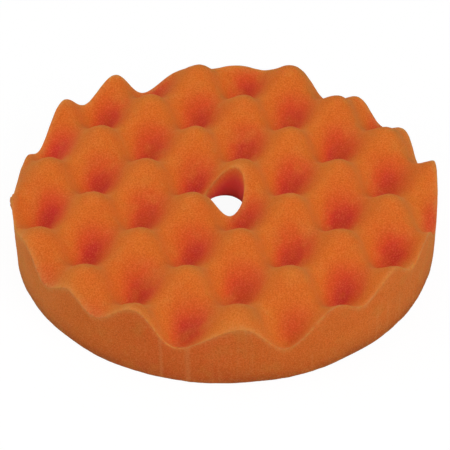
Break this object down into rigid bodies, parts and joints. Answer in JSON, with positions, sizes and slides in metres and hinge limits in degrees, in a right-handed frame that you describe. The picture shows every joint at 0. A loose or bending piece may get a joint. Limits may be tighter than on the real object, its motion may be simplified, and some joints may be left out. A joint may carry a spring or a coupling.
{
  "type": "polishing pad",
  "caption": "Round orange foam polishing pad with a peaked egg-crate working face, a centre hole and a recessed loop-cloth back.",
  "frame": {"origin": "middle of the pad's flat bottom rim, on its axis", "axes": "+Z along the pad's axis, out of the working face; X and Y along the two directions of the wave pattern, to within 2 degrees"},
  "size_m": [0.2032, 0.2032, 0.0381],
  "materials": {
    "foam": "matt open-cell foam",
    "film": "milky hot-melt film",
    "loop_cloth": "brushed loop knit"
  },
  "bodies": {
    "root": {"foam_pad": "foam", "adhesive_film": "film", "loop_backing": "loop_cloth"}
  },
  "joints": []
}
